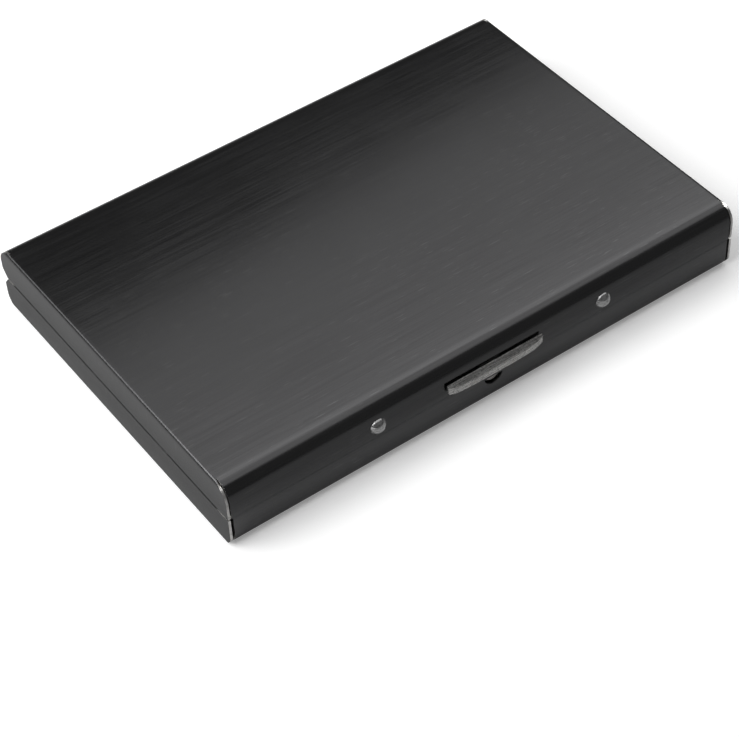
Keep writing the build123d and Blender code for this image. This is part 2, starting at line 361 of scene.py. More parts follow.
@dataclass(frozen=True)
class Finish:
    """Base of all finishes."""

    name: str

    def start(self, coordinates: Coordinates = Coordinates.OBJECT) -> tuple:
        """Make an empty Principled material.

        Args:
            coordinates: Where the patterns take their coordinates from.

        Returns:
            The material, its desk, its Principled node and the coordinate socket.
        """
        material = bpy.data.materials.new(self.name)
        material.use_nodes = True
        material.node_tree.nodes.clear()
        desk = NodeDesk(material.node_tree)
        place = desk.add("TexCoord").outputs[coordinates.value]
        shader = desk.add("BsdfPrincipled")
        output = desk.add("OutputMaterial")
        desk.feed(output, "Surface", shader.outputs[0])
        return material, desk, shader, place

    @staticmethod
    def effect(desk: NodeDesk, group: bpy.types.NodeTree, vector: object, **values: float) -> bpy.types.Node:
        """Place a shared effect.

        Args:
            desk: The desk of the material.
            group: The shared node group.
            vector: Coordinates.
            **values: Inputs of the group, with underscores for spaces.

        Returns:
            The group node.
        """
        node = desk.add("Group", node_tree=group)
        desk.dress(node, Vector=vector, **values)
        return node

    @staticmethod
    def bump(desk: NodeDesk, height: object, strength: float, distance: float) -> bpy.types.NodeSocket:
        """Turn a height into a normal.

        Args:
            desk: The desk of the material.
            height: Height socket.
            strength: Bump strength.
            distance: Height of the relief in metres.

        Returns:
            The normal socket.
        """
        inputs = {"Strength": strength, "Distance": distance, "Height": height}
        return desk.add("Bump", inputs).outputs[0]


@dataclass(frozen=True)
class BrushedSteel(Finish):
    """Brushed sheet steel, bare or coated, with its brush lines along the sheet."""

    dark: tuple[float, float, float] = (0.108, 0.108, 0.11)
    light: tuple[float, float, float] = (0.128, 0.128, 0.13)
    smooth: float = 0.17
    rough: float = 0.23
    relief: float = 0.5 * MM
    strength: float = 0.002
    along: float = 60.0
    across: float = 5200.0
    scratch_tone: float = 0.26
    scratches: float = 0.32
    coordinates: Coordinates = Coordinates.UV

    def build(self, effects: EffectLibrary) -> bpy.types.Material:
        """Make the material.

        Args:
            effects: Shared node groups.

        Returns:
            The finished material.
        """
        material, desk, shader, place = self.start(self.coordinates)
        solid = desk.add("TexCoord").outputs["Object"]
        lines = self.effect(desk, effects.brushing, place, Along=self.along, Across=self.across)
        touch = self.effect(desk, effects.handling, solid, Scale=55.0)
        tone = desk.mix(lines.outputs["Streak"], (*self.dark, 1.0), (*self.light, 1.0))
        worn = desk.math("MULTIPLY", lines.outputs["Scratch"], self.scratches)
        tone = desk.mix(worn, tone, grey(self.scratch_tone))
        roughness = desk.between(lines.outputs["Streak"], self.smooth, self.rough)
        roughness = desk.math("ADD", roughness, desk.math("MULTIPLY", touch.outputs["Cloud"], 0.03))
        normal = self.bump(desk, lines.outputs["Height"], self.strength, self.relief)
        desk.dress(shader, Base_Color=tone, Metallic=1.0, Roughness=roughness, Normal=normal)
        return material


@dataclass(frozen=True)
class CutEdge(Finish):
    """Cut edge of the coated sheet: dark, rubbed bare at the corners."""

    coat: tuple[float, float, float] = (0.09, 0.09, 0.09)
    bare: tuple[float, float, float] = (0.88, 0.87, 0.85)
    smooth: float = 0.3
    rough: float = 0.45

    def build(self, effects: EffectLibrary) -> bpy.types.Material:
        """Make the material.

        Args:
            effects: Shared node groups.

        Returns:
            The finished material.
        """
        material, desk, shader, place = self.start()
        rub = self.effect(desk, effects.corner_rub, place)
        touch = self.effect(desk, effects.handling, place, Scale=400.0)
        tone = desk.mix(rub.outputs["Mask"], (*self.coat, 1.0), (*self.bare, 1.0))
        roughness = desk.between(touch.outputs["Cloud"], self.smooth, self.rough)
        desk.dress(shader, Base_Color=tone, Metallic=1.0, Roughness=roughness)
        return material


@dataclass(frozen=True)
class PittedSteel(Finish):
    """Bright tumbled steel with fine pits and short brush marks."""

    tone: tuple[float, float, float] = (0.92, 0.91, 0.89)
    smooth: float = 0.2
    rough: float = 0.36
    pit_depth: float = 0.03 * MM
    pit_strength: float = 0.35
    pit_scale: float = 2600.0

    def build(self, effects: EffectLibrary) -> bpy.types.Material:
        """Make the material.

        Args:
            effects: Shared node groups.

        Returns:
            The finished material.
        """
        material, desk, shader, place = self.start()
        lines = self.effect(desk, effects.brushing, place, Along=300.0, Across=6000.0)
        pits = desk.ramp(desk.noise(place, self.pit_scale, 2.0, 0.7), 0.38, 0.5)
        dull = tuple(c * 0.72 for c in self.tone)
        tone = desk.mix(lines.outputs["Streak"], (*dull, 1.0), (*self.tone, 1.0))
        tone = desk.mix(desk.math("MULTIPLY", desk.math("SUBTRACT", 1.0, pits), 0.5), tone, grey(0.18))
        height = desk.math("ADD", pits, desk.math("MULTIPLY", lines.outputs["Height"], 0.5))
        roughness = desk.between(lines.outputs["Streak"], self.smooth, self.rough)
        normal = self.bump(desk, height, self.pit_strength, self.pit_depth)
        desk.dress(shader, Base_Color=tone, Metallic=1.0, Roughness=roughness, Normal=normal)
        return material


@dataclass(frozen=True)
class BlackSheet(Finish):
    """Thin black sheet with a faint grain and sheen."""

    tone: float = 0.018
    smooth: float = 0.38
    rough: float = 0.52
    grain_scale: float = 1800.0
    grain_strength: float = 0.4
    grain_depth: float = 0.02 * MM

    def build(self, effects: EffectLibrary) -> bpy.types.Material:
        """Make the material.

        Args:
            effects: Shared node groups.

        Returns:
            The finished material.
        """
        material, desk, shader, place = self.start()
        touch = self.effect(desk, effects.handling, place, Scale=90.0)
        grain = desk.noise(place, self.grain_scale, 3.0, 0.6)
        tone = desk.mix(touch.outputs["Cloud"], grey(self.tone * 0.75), grey(self.tone * 1.25))
        tone = desk.mix(desk.math("MULTIPLY", touch.outputs["Speck"], 0.3), tone, grey(0.12))
        roughness = desk.between(touch.outputs["Cloud"], self.smooth, self.rough)
        normal = self.bump(desk, grain, self.grain_strength, self.grain_depth)
        desk.dress(shader, Base_Color=tone, Roughness=roughness, Normal=normal)
        return material


@dataclass(frozen=True)
class SheetEdge(Finish):
    """Grey cut edge of a black sheet or cloth."""

    tone: float = 0.22
    smooth: float = 0.5
    rough: float = 0.7

    def build(self, effects: EffectLibrary) -> bpy.types.Material:
        """Make the material.

        Args:
            effects: Shared node groups.

        Returns:
            The finished material.
        """
        material, desk, shader, place = self.start()
        touch = self.effect(desk, effects.handling, place, Scale=700.0)
        tone = desk.mix(touch.outputs["Cloud"], grey(self.tone * 0.7), grey(self.tone * 1.3))
        roughness = desk.between(touch.outputs["Cloud"], self.smooth, self.rough)
        desk.dress(shader, Base_Color=tone, Roughness=roughness)
        return material


@dataclass(frozen=True)
class BellowsCloth(Finish):
    """Thin black coated cloth with a fine weave."""

    tone: float = 0.014
    pitch: float = 9000.0
    smooth: float = 0.42
    rough: float = 0.6
    weave_strength: float = 0.3
    weave_depth: float = 0.03 * MM

    def build(self, effects: EffectLibrary) -> bpy.types.Material:
        """Make the material.

        Args:
            effects: Shared node groups.

        Returns:
            The finished material.
        """
        material, desk, shader, place = self.start(Coordinates.UV)
        weave = self.effect(desk, effects.weave, place, Pitch=self.pitch)
        touch = self.effect(desk, effects.handling, place, Scale=120.0)
        tone = desk.mix(weave.outputs["Thread"], grey(self.tone * 0.6), grey(self.tone * 1.8))
        roughness = desk.between(touch.outputs["Cloud"], self.smooth, self.rough)
        normal = self.bump(desk, weave.outputs["Height"], self.weave_strength, self.weave_depth)
        desk.dress(shader, Base_Color=tone, Roughness=roughness, Normal=normal)
        return material


@dataclass(frozen=True)
class PaleFloor(Finish):
    """Plain pale studio floor with painted shade in its reflections: reflected rays see a darker floor than
    the camera does, duller in the reflections of the case's front than beside it.
    """

    tone: float = 0.92
    # Painted shade: floor tones that only reflected rays see, standing in for dark surroundings in the
    # metal's reflections.
    shade_side_near: float = 0.34
    shade_side_far: float = 0.52
    shade_front_near: float = 0.56
    shade_front_far: float = 0.26
    glow: float = 0.25
    case_front: float = -32.5 * MM
    case_left: float = -48.0 * MM

    def build(self) -> bpy.types.Material:
        """Make the material.

        Returns:
            The finished material.
        """
        material, desk, shader, place = self.start()
        cloud = desk.noise(place, 3.0, 2.0)
        plain = desk.mix(cloud, grey(self.tone * 0.99), grey(self.tone))
        parts = desk.add("SeparateXYZ", {0: place}).outputs
        # Masks that place the painted reflection tones in front of the case and beside it.
        ahead = desk.ramp(parts[1], self.case_front + 4 * MM, self.case_front - 4 * MM)
        beside = desk.ramp(parts[0], self.case_left - 20 * MM, self.case_left)
        painted_front_zone = desk.math("MULTIPLY", ahead, beside)
        away = desk.ramp(parts[1], self.case_front - 3.5 * MM, self.case_front - 6.5 * MM)
        aside = desk.ramp(parts[0], self.case_left - 1 * MM, self.case_left - 7 * MM)
        side = desk.mix(aside, grey(self.shade_side_near), grey(self.shade_side_far))
        front = desk.mix(away, grey(self.shade_front_near), grey(self.shade_front_far))
        # Painted reflection: reflected rays get these darker tones, camera rays get the plain pale floor.
        painted_reflection_tone = desk.mix(painted_front_zone, side, front)
        seen = desk.add("LightPath").outputs["Is Camera Ray"]
        desk.dress(shader, Base_Color=desk.mix(seen, painted_reflection_tone, plain), Emission_Strength=1.0, Roughness=0.9,
                   Emission_Color=desk.mix(seen, grey(0.0), grey(self.glow)), Specular_IOR_Level=0.1)
        return material


class Palette:
    """Every finish of the case, built once."""

    def __init__(self, effects: EffectLibrary) -> None:
        """Build the materials.

        Args:
            effects: Shared node groups.
        """
        self.black_steel = BrushedSteel("black_brushed_steel").build(effects)
        self.bare_steel = BrushedSteel(
            "bare_inner_steel", dark=(0.42, 0.41, 0.39), light=(0.60, 0.59, 0.57), smooth=0.3, rough=0.42,
        ).build(effects)
        self.cut_edge = CutEdge("cut_edge_steel").build(effects)
        self.bar_steel = PittedSteel("bright_bar_steel").build(effects)
        self.rivet_steel = PittedSteel(
            "polished_rivet_steel", tone=(0.9, 0.9, 0.9), smooth=0.12, rough=0.22,
            pit_depth=0.008 * MM).build(effects)
        self.spring_steel = BrushedSteel(
            "spring_steel", dark=(0.45, 0.44, 0.42), light=(0.62, 0.61, 0.59), smooth=0.2, rough=0.34,
            along=160.0, coordinates=Coordinates.OBJECT,
        ).build(effects)
        self.liner = BlackSheet("liner_sheet", tone=0.022, smooth=0.33, rough=0.45).build(effects)
        self.leaf = BlackSheet("leaf_sheet", tone=0.012).build(effects)
        self.leaf_edge = SheetEdge("leaf_cut_edge", tone=0.22).build(effects)
        self.cloth = BellowsCloth("bellows_cloth").build(effects)
        self.cloth_edge = SheetEdge("cloth_cut_edge", tone=0.07).build(effects)


# ---------------------------------------------------------------------------
# Mesh helpers
# ---------------------------------------------------------------------------

def near(a: float, b: float, slack: float = 1e-6) -> bool:
    """Whether two lengths are the same."""
    return abs(a - b) < slack


def corners_of(node: str) -> tuple[Vector, Vector]:
    """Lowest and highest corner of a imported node."""
    low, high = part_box(node)
    return Vector(low), Vector(high)


def upright_edges(bm: BMesh) -> list[BMEdge]:
    """Edges that stand straight up."""
    return [e for e in bm.edges if near(e.verts[0].co.x, e.verts[1].co.x)
            and near(e.verts[0].co.y, e.verts[1].co.y)]


def round_edges(bm: BMesh, edges: Iterable[BMEdge], radius: float, segments: int) -> None:
    """Bevel edges into the mesh.

    Args:
        bm: The mesh.
        edges: Edges to round.
        radius: Bevel width.
        segments: Bevel segments.
    """
    bmesh.ops.bevel(bm, geom=list(edges), offset=radius, affect="EDGES", segments=segments,
                    profile=0.5, material=-1)


def mesh_object(name: str, bm: BMesh, materials: Sequence[bpy.types.Material]) -> bpy.types.Object:
    """Turn a bmesh into an object at the origin.

    Args:
        name: Piece name.
        bm: The mesh, which is freed.
        materials: Materials by face index.

    Returns:
        The object.
    """
    mesh = bpy.data.meshes.new(name)
    bm.to_mesh(mesh)
    bm.free()
    for material in materials:
        mesh.materials.append(material)
    piece = bpy.data.objects.new(name, mesh)
    bpy.context.scene.collection.objects.link(piece)
    mesh.shade_smooth()
    return piece


def sharpen(piece: bpy.types.Object, degrees: float = 40.0) -> None:
    """Mark the edges of a piece that are sharper than an angle.

    Args:
        piece: The object.
        degrees: Smallest sharp angle.
    """
    piece.data.set_sharp_from_angle(angle=math.radians(degrees))


def thicken(piece: bpy.types.Object, thickness: float, inner: int = 0, rim: int = 0,
            offset: float = -1.0) -> None:
    """Give a sheet its thickness.

    Args:
        piece: The object.
        thickness: Sheet thickness.
        inner: Material index step of the inner face.
        rim: Material index step of the cut edge.
        offset: -1 puts the metal behind the drawn face, 0 on both sides.
    """
    solid = piece.modifiers.new("thickness", "SOLIDIFY")
    solid.thickness = thickness
    solid.offset = offset
    solid.use_even_offset = True
    solid.use_quality_normals = True
    solid.material_offset = inner
    solid.material_offset_rim = rim


def soften(piece: bpy.types.Object, width: float, segments: int = 2, degrees: float = 35.0) -> None:
    """Round the sharp edges of a piece a little.

    Args:
        piece: The object.
        width: Bevel width.
        segments: Bevel segments.
        degrees: Smallest angle that is rounded.
    """
    bevel = piece.modifiers.new("edges", "BEVEL")
    bevel.width = width
    bevel.segments = segments
    bevel.limit_method = "ANGLE"
    bevel.angle_limit = math.radians(degrees)
    bevel.harden_normals = True


def freeze(piece: bpy.types.Object) -> None:
    """Apply the modifiers of a piece to its mesh.

    Args:
        piece: The object.
    """
    graph = bpy.context.evaluated_depsgraph_get()
    made = bpy.data.meshes.new_from_object(piece.evaluated_get(graph), depsgraph=graph)
    piece.modifiers.clear()
    old = piece.data
    piece.data = made
    bpy.data.meshes.remove(old)
    made.name = piece.name


def block(bm: BMesh, low: Sequence[float], high: Sequence[float]) -> list[BMVert]:
    """Add a box between two corners.

    Args:
        bm: The mesh.
        low: Lowest corner.
        high: Highest corner.

    Returns:
        The new vertices.
    """
    size = Vector(high) - Vector(low)
    centre = (Vector(high) + Vector(low)) / 2
    matrix = Matrix.Translation(centre) @ Matrix.Diagonal((*size, 1.0))
    return bmesh.ops.create_cube(bm, size=1.0, matrix=matrix)["verts"]


def cut(bm: BMesh, point: Sequence[float], normal: Sequence[float], clear: bool = False,
        faces: Iterable | None = None) -> None:
    """Cut a mesh with a plane.

    Args:
        bm: The mesh.
        point: A point on the plane.
        normal: Direction of the side that may be cleared.
        clear: Remove the side that the normal points to.
        faces: Faces to cut, or all of them.
    """
    if faces is None:
        geometry = bm.verts[:] + bm.edges[:] + bm.faces[:]
    else:
        chosen = list(faces)
        edges = {edge for face in chosen for edge in face.edges}
        verts = {vert for face in chosen for vert in face.verts}
        geometry = list(verts) + list(edges) + chosen
    bmesh.ops.bisect_plane(bm, geom=geometry, plane_co=point, plane_no=normal, clear_outer=clear, dist=1e-7)


def pull(bm: BMesh, edges: Iterable[BMEdge], step: Sequence[float]) -> list[BMEdge]:
    """Extrude edges and move the new ones.

    Args:
        bm: The mesh.
        edges: Edges to extrude.
        step: How far the new edges move.

    Returns:
        The new edges.
    """
    made = bmesh.ops.extrude_edge_only(bm, edges=list(edges))["geom"]
    verts = [g for g in made if isinstance(g, BMVert)]
    bmesh.ops.translate(bm, verts=verts, vec=step)
    return [g for g in made if isinstance(g, BMEdge) and all(v in verts for v in g.verts)]


def swing(bm: BMesh, geometry: Iterable, centre: Sequence[float], axis: Sequence[float], degrees: float,
          steps: int) -> list:
    """Spin edges or vertices round an axis.

    Args:
        bm: The mesh.
        geometry: What is spun.
        centre: A point on the axis.
        axis: Axis direction.
        degrees: Angle.
        steps: Number of steps.

    Returns:
        The geometry at the far end.
    """
    made = bmesh.ops.spin(bm, geom=list(geometry), cent=centre, axis=axis, dvec=(0, 0, 0),
                          angle=math.radians(degrees), steps=steps, use_merge=False,
                          use_normal_flip=False, use_duplicate=False)
    return made["geom_last"]


def lay_uv(bm: BMesh, place: Callable[[Vector, Vector], tuple[float, float]]) -> None:
    """Write a UV map in metres.

    Args:
        bm: The mesh.
        place: Gives the coordinates from a point and its face's normal.
    """
    layer = bm.loops.layers.uv.verify()
    for face in bm.faces:
        for loop in face.loops:
            loop[layer].uv = place(loop.vert.co, face.normal)


def ride(piece: bpy.types.Object, body: str, nodes: Sequence[str] = ()) -> None:
    """Fasten a piece to a body and report it.

    Args:
        piece: The object.
        body: Name of the body.
        nodes: CAD nodes that the piece stands for.
    """
    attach(piece, body)
    if nodes:
        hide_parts(*nodes)
    LOG.info("%s rides on %s", piece.name, body)


# ---------------------------------------------------------------------------
# The case's own sizes
# ---------------------------------------------------------------------------

@dataclass(frozen=True)
class CaseSizes:
    """Sizes that several pieces share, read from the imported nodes."""

    half_width: float
    half_depth: float
    height: float
    hinge_y: float
    seam: float
    sheet: float = 0.4 * MM
    end_gap: float = 0.3 * MM
    front_gap: float = 0.05 * MM
    knuckles: int = 7

    @classmethod
    def from_frame(cls) -> "CaseSizes":
        """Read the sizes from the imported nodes."""
        low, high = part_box("lower_shell")
        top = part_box("upper_shell")[1]
        pin_low, pin_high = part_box("hinge_pin")
        return cls(
            half_width=high[0],
            half_depth=high[1],
            height=top[2],
            hinge_y=(pin_low[1] + pin_high[1]) / 2,
            seam=(pin_low[2] + pin_high[2]) / 2,
        )

    @property
    def hinge_half(self) -> float:
        """Half the length of the row of knuckles."""
        return self.half_width - 2.0 * MM

    def knuckle_spans(self, first: int) -> list[tuple[float, float]]:
        """Ends of every second knuckle.

        Args:
            first: Number of the first knuckle.

        Returns:
            Start and end of each knuckle along X.
        """
        pitch = 2 * self.hinge_half / self.knuckles
        starts = [-self.hinge_half + i * pitch for i in range(first, self.knuckles, 2)]
        return [(start, start + pitch) for start in starts]


# ---------------------------------------------------------------------------
# Shells
# ---------------------------------------------------------------------------

@dataclass
class FoldedShell:
    """One half of the case: a folded sheet with rolled knuckles along its back wall."""

    sizes: CaseSizes
    palette: Palette
    node: str
    body: Body
    bend_radius: float
    slit: float
    first_knuckle: int
    turned_over: bool
    fold_radius: float = 0.6 * MM
    bend_steps: int = 12
    fold_steps: int = 5
    relief: float = 1.5 * MM
    knuckle_gap: float = 0.075 * MM
    roll_degrees: float = 322.0
    roll_steps: int = 22
    guide_step: float = 0.4 * MM
    hinge_chamfer: tuple[float, float, float] = (0.0, 1.6, 1.3)
    hinge_chamfer_start: float = 0.3 * MM
    notch_half: float = 0.0
    notch_floor: float = 0.0
    lance_radius: float = 0.0
    lance_centre: float = 5.6 * MM
    lance_top: float = 5.35 * MM
    lance_steps: int = 12

    @property
    def rim(self) -> float:
        """Height of the rim above the shell's own floor."""
        return self.own_seam - self.sizes.end_gap / 2

    @property
    def own_seam(self) -> float:
        """Height of the seam above the shell's own floor."""
        if self.turned_over:
            return self.sizes.height - self.sizes.seam
        return self.sizes.seam

    @property
    def wall_end(self) -> float:
        """Where a long wall stops along X."""
        return self.sizes.half_width - self.sizes.sheet - self.slit

    def build(self) -> bpy.types.Object:
        """Build the shell.

        Returns:
            The shell's object.
        """
        bm = bmesh.new()
        self._floor_and_ends(bm)
        self._trim_corners(bm)
        for side in (-1, 1):
            self._long_wall(bm, side)
        self._cut_notch(bm)
        self._cut_lance(bm)
        self._trim_ends_at_hinge(bm)
        bmesh.ops.remove_doubles(bm, verts=bm.verts[:], dist=1e-6)
        self._face_outwards(bm)
        lay_uv(bm, self._on_sheet)
        if self.turned_over:
            self._turn_over(bm)
        materials = [self.palette.black_steel, self.palette.bare_steel, self.palette.cut_edge]
        piece = mesh_object(self.node + "_sheet", bm, materials)
        sharpen(piece)
        thicken(piece, self.sizes.sheet, inner=1, rim=2)
        soften(piece, 0.04 * MM)
        ride(piece, self.body.value, [self.node])
        return piece

    def _floor_and_ends(self, bm: BMesh) -> None:
        """Sweep the floor, the two tight folds and the end walls along the depth.

        Args:
            bm: The mesh.
        """
        s = self.sizes
        flat = s.half_width - self.fold_radius
        left = bm.verts.new((-flat, -s.half_depth, 0))
        right = bm.verts.new((flat, -s.half_depth, 0))
        bm.edges.new((left, right))
        for vert, side in ((left, -1), (right, 1)):
            centre = (side * flat, -s.half_depth, self.fold_radius)
            last = swing(bm, [vert], centre, (0, -side, 0), 90, self.fold_steps)
            top = [g for g in last if isinstance(g, BMVert)]
            made = bmesh.ops.extrude_vert_indiv(bm, verts=top)["verts"]
            bmesh.ops.translate(bm, verts=made, vec=(0, 0, self.rim - self.fold_radius))
        pull(bm, bm.edges[:], (0, 2 * s.half_depth, 0))
        for side in (-1, 1):
            cut(bm, (side * (flat - self.guide_step), 0, 0), (1, 0, 0))
            cut(bm, (side * self.wall_end, 0, 0), (1, 0, 0))

    def _trim_corners(self, bm: BMesh) -> None:
        """Trim the end walls to the outline of the long bends.

        Args:
            bm: The mesh.
        """
        s = self.sizes
        step = math.pi / 2 / self.bend_steps
        for side in (-1, 1):
            middle = Vector((0, side * (s.half_depth - self.bend_radius), self.bend_radius))
            for i in range(self.bend_steps):
                angle = (i + 0.5) * step
                normal = Vector((0, side * math.sin(angle), -math.cos(angle)))
                point = middle + normal * self.bend_radius * math.cos(step / 2)
                cut(bm, point, normal, clear=True)
            cut(bm, (0, side * (s.half_depth - self.bend_radius - 0.5 * MM), 0), (0, 1, 0))

    def _long_wall(self, bm: BMesh, side: int) -> None:
        """Fold up one long wall, and roll the knuckles on the back one.

        Args:
            bm: The mesh.
            side: -1 for the front, 1 for the back.
        """
        s = self.sizes
        flat = s.half_depth - self.bend_radius
        start = [e for e in bm.edges if self._on_fold_line(e, side * flat)]
        centre = (0, side * flat, self.bend_radius)
        last = swing(bm, start, centre, (side, 0, 0), 90, self.bend_steps)
        edges = [g for g in last if isinstance(g, BMEdge)]
        top = self.own_seam - (s.front_gap / 2 if side < 0 else self.relief)
        edges = pull(bm, edges, (0, 0, top - self.bend_radius))
        if side > 0:
            self._roll_knuckles(bm, edges)

    def _on_fold_line(self, edge: BMEdge, y: float) -> bool:
        """Whether an edge lies where a long bend starts."""
        return all(near(v.co.y, y) and near(v.co.z, 0) and abs(v.co.x) < self.wall_end + 1e-6
                   for v in edge.verts)

    def _roll_knuckles(self, bm: BMesh, edges: list[BMEdge]) -> None:
        """Carry the back wall up and round the hinge axis at this shell's own knuckles.

        Args:
            bm: The mesh.
            edges: Top edges of the back wall.
        """
        s = self.sizes
        top = self.own_seam - self.relief
        for span in s.knuckle_spans(self.first_knuckle):
            ends = (span[0] + self.knuckle_gap, span[1] - self.knuckle_gap)
            for x in ends:
                cut(bm, (x, 0, 0), (1, 0, 0), faces=self._back_wall(bm))
            chosen = [e for e in bm.edges
                      if all(near(v.co.z, top) and v.co.y > s.half_depth - 1e-6
                             and ends[0] - 1e-6 < v.co.x < ends[1] + 1e-6 for v in e.verts)]
            risen = pull(bm, chosen, (0, 0, self.relief))
            swing(bm, risen, (0, s.hinge_y, self.own_seam), (1, 0, 0), self.roll_degrees,
                  self.roll_steps)

    def _back_wall(self, bm: BMesh) -> list:
        """Faces of the upright back wall."""
        edge = self.sizes.half_depth
        return [f for f in bm.faces if all(near(v.co.y, edge) for v in f.verts)
                and min(v.co.z for v in f.verts) < self.own_seam - 1.4 * MM and abs(f.normal.x) < 0.5]

    def _front_wall(self, bm: BMesh) -> list:
        """Faces of the upright front wall."""
        front = -self.sizes.half_depth
        return [f for f in bm.faces if abs(f.normal.x) < 0.5 and all(near(v.co.y, front) for v in f.verts)]

    def _cut_notch(self, bm: BMesh) -> None:
        """Cut the notch for the latch neck in the front wall.

        Args:
            bm: The mesh.
        """
        if self.notch_half == 0.0:
            return
        for x in (-self.notch_half, self.notch_half):
            cut(bm, (x, 0, 0), (1, 0, 0), faces=self._front_wall(bm))
        cut(bm, (0, 0, self.notch_floor), (0, 0, 1), faces=self._front_wall(bm))
        inside = [f for f in self._front_wall(bm)
                  if abs(f.calc_center_median().x) < self.notch_half
                  and f.calc_center_median().z > self.notch_floor]
        bmesh.ops.delete(bm, geom=inside, context="FACES")

    def _cut_lance(self, bm: BMesh) -> None:
        """Cut the half-round hole that the catch lug was lanced from.

        Args:
            bm: The mesh.
        """
        radius = self.lance_radius
        if radius == 0.0:
            return
        for x in (-radius, radius):
            cut(bm, (x, 0, 0), (1, 0, 0), faces=self._front_wall(bm))
        bm.normal_update()
        cut(bm, (0, 0, self.lance_top), (0, 0, 1), faces=self._front_wall(bm))
        middle = Vector((0, 0, self.lance_centre))
        step = math.pi / self.lance_steps
        for i in range(self.lance_steps):
            angle = (i + 0.5) * step
            normal = Vector((math.cos(angle), 0, -math.sin(angle)))
            bm.normal_update()
            cut(bm, middle + normal * radius * math.cos(step / 2), normal, faces=self._under_lance(bm))
        hole = [f for f in self._under_lance(bm)
                if (Vector((f.calc_center_median().x, 0, f.calc_center_median().z)) - middle).length
                < radius * math.cos(step / 2)]
        bmesh.ops.delete(bm, geom=hole, context="FACES")

    def _under_lance(self, bm: BMesh) -> list:
        """Faces of the front wall in the column below the top of the lanced hole."""
        return [f for f in self._front_wall(bm)
                if abs(f.calc_center_median().x) < self.lance_radius
                and f.calc_center_median().z < self.lance_top]

    def _trim_ends_at_hinge(self, bm: BMesh) -> None:
        """Chamfer the back corners of the end walls so that the two shells can swing past each other.

        Args:
            bm: The mesh.
        """
        s = self.sizes
        walls = [f for f in bm.faces if all(near(abs(v.co.x), s.half_width) for v in f.verts)]
        point = Vector((0, s.hinge_y - self.hinge_chamfer_start, self.own_seam))
        cut(bm, point, self.hinge_chamfer, clear=True, faces=walls)

    @staticmethod
    def _face_outwards(bm: BMesh) -> None:
        """Turn the faces so that the floor looks down, out of the shell.

        Args:
            bm: The mesh.
        """
        bmesh.ops.recalc_face_normals(bm, faces=bm.faces[:])
        floor = max(bm.faces, key=lambda face: face.calc_area())
        if floor.normal.z > 0:
            bmesh.ops.reverse_faces(bm, faces=bm.faces[:])

    def _on_sheet(self, point: Vector, normal: Vector) -> tuple[float, float]:
        """Coordinates on the sheet before it was folded.

        Args:
            point: A point of the shell.
            normal: Normal of its face.

        Returns:
            Distance along the length and across the depth of the sheet.
        """
        if abs(normal.x) > 0.5:
            return math.copysign(abs(point.x) + point.z, point.x), point.y
        if abs(normal.y) > 0.5:
            return point.x, math.copysign(abs(point.y) + point.z, point.y)
        return point.x, point.y

    def _turn_over(self, bm: BMesh) -> None:
        """Turn the shell over so that its floor becomes the top of the case."""
        bmesh.ops.scale(bm, vec=(1, 1, -1), verts=bm.verts[:])
        bmesh.ops.translate(bm, vec=(0, 0, self.sizes.height), verts=bm.verts[:])
        bmesh.ops.reverse_faces(bm, faces=bm.faces[:])


@dataclass
class Hinge:
    """The pin through the knuckles."""

    sizes: CaseSizes
    palette: Palette
    radius: float = 0.5 * MM

    def build(self) -> None:
        """Build the pin with chamfered ends."""
        low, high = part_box("hinge_pin")
        bm = bmesh.new()
        length = high[0] - low[0]
        place = (Matrix.Translation((0, self.sizes.hinge_y, self.sizes.seam))
                 @ Matrix.Rotation(math.pi / 2, 4, "Y"))
        bmesh.ops.create_cone(bm, cap_ends=True, segments=28, radius1=self.radius, radius2=self.radius,
                              depth=length, matrix=place)
        rims = [e for e in bm.edges if all(near(abs(v.co.x), length / 2, 1e-5) for v in e.verts)]
        round_edges(bm, rims, 0.12 * MM, 3)
        piece = mesh_object("hinge_pin_rod", bm, [self.palette.spring_steel])
        sharpen(piece, 50)
        ride(piece, Body.CASE.value, ["hinge_pin"])


# ---------------------------------------------------------------------------
# Latch
# ---------------------------------------------------------------------------

